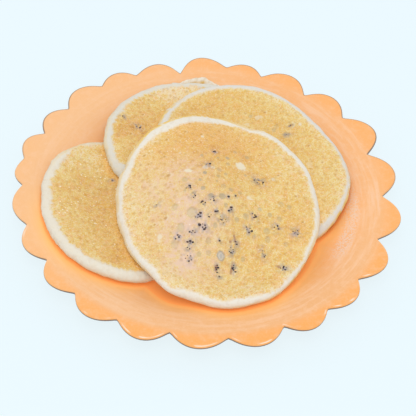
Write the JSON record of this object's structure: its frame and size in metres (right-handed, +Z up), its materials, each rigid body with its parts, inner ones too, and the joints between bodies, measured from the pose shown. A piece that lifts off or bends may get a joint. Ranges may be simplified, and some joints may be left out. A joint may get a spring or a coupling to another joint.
{
  "type": "plate of chocolate chip pancakes",
  "caption": "Thick soft pancakes with browned tops, pale rounded sides and dark chips, heaped overlapping on a round plate with a scalloped rim.",
  "frame": {"origin": "middle of the plate's scalloped outline, on the surface it stands on", "axes": "+Z up out of the plate, -Y towards the side that the front pancake edge faces, +X to the right of it"},
  "size_m": [0.2692, 0.2716, 0.0478],
  "materials": {
    "plate_glaze": "smooth satin melamine in orange, paler and pinker over the well",
    "pancake_crust": "golden brown griddled batter with fine pores, dark chips and cream sides"
  },
  "bodies": {
    "root": {"plate": "plate_glaze", "pancake_left": "pancake_crust", "pancake_back": "pancake_crust", "pancake_right": "pancake_crust", "pancake_top": "pancake_crust"}
  },
  "joints": []
}
